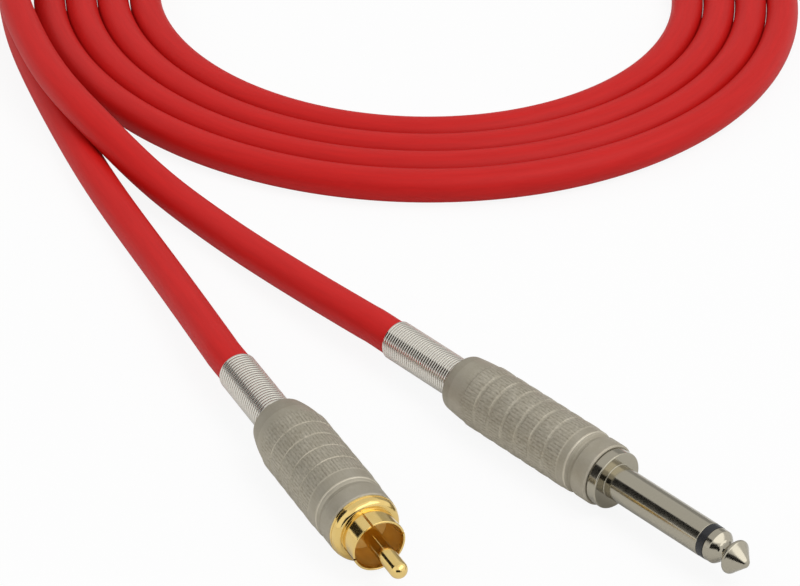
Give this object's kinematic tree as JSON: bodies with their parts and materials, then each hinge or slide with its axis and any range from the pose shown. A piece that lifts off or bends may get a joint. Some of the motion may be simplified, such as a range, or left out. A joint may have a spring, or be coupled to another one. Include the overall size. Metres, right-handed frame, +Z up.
{
  "type": "instrument cable",
  "caption": "Coiled red screened instrument cable with a quarter-inch mono phone plug on one end and a phono plug on the other, both with screw-on nickel shells and spring reliefs.",
  "frame": {"origin": "on the floor under the centre of the box round the two plugs", "axes": "+X along the phone plug towards its tip, +Z up, the coil behind and to the left"},
  "size_m": [0.3055, 0.2297, 0.0141],
  "materials": {
    "satin_nickel": "satin nickel plate, blasted",
    "spring_nickel": "bright nickel plate on steel wire",
    "polished_nickel": "polished nickel plate",
    "gold_plate": "polished gold plate",
    "tinned_brass": "tin plate",
    "clear_tube": "translucent sleeve",
    "black_acetal": "turned acetal",
    "phenolic": "pressed paper laminate",
    "jacket_pvc": "matte flexible PVC",
    "bare_copper": "bare stranded copper",
    "core_pe": "natural polyethylene",
    "solder": "cooled solder",
    "phono_plastic": "moulded insert"
  },
  "bodies": {
    "root": {"phone_body": "polished_nickel", "phone_tip": "polished_nickel", "phone_tip_insulator": "black_acetal", "phone_rear_insulator": "phenolic", "phone_tip_lug": "tinned_brass", "phone_ground_clamp": "tinned_brass", "phone_jacket_end": "jacket_pvc", "phone_screen_pigtail": "bare_copper", "phone_core": "core_pe", "phone_conductor": "bare_copper", "phone_solder_joints": "solder", "phono_body": "gold_plate", "phono_pin": "gold_plate", "phono_insulator": "phono_plastic", "phono_ground_clamp": "tinned_brass", "phono_jacket_end": "jacket_pvc", "phono_screen_pigtail": "bare_copper", "phono_core": "core_pe", "phono_conductor": "bare_copper", "phono_solder_joints": "solder", "cord_phone_tail": "jacket_pvc", "cord_coil": "jacket_pvc", "cord_phono_tail": "jacket_pvc"},
    "phone_relief": {"phone_relief_spring": "spring_nickel"},
    "phone_handle": {"phone_shell": "satin_nickel", "phone_insulating_tube": "clear_tube"},
    "phono_relief": {"phono_relief_spring": "spring_nickel"},
    "phono_handle": {"phono_shell": "satin_nickel", "phono_insulating_tube": "clear_tube"}
  },
  "joints": [
    {"name": "phone_relief_slide", "type": "slide", "parent": "root", "child": "phone_relief", "axis": [-1, 0, 0], "range_m": [0, 0.006]},
    {"name": "phone_shell_turn", "type": "hinge", "parent": "phone_relief", "child": "phone_handle", "pos_m": [-0.0012, 0.0213, 0.0061], "axis": [-1, 0, 0], "range_deg": [0, 2880]},
    {"name": "phono_relief_slide", "type": "slide", "parent": "root", "child": "phono_relief", "axis": [-0.9677, 0.2521, 0], "range_m": [0, 0.006]},
    {"name": "phono_shell_turn", "type": "hinge", "parent": "phono_relief", "child": "phono_handle", "pos_m": [-0.01305, -0.01744, 0.0067], "axis": [-0.9677, 0.2521, 0], "range_deg": [0, 2880]}
  ],
  "couplings": [
    {"joint": "phone_shell_turn", "follows": "phone_relief_slide", "rad_per_m": 8377.6},
    {"joint": "phono_shell_turn", "follows": "phono_relief_slide", "rad_per_m": 8377.6}
  ]
}
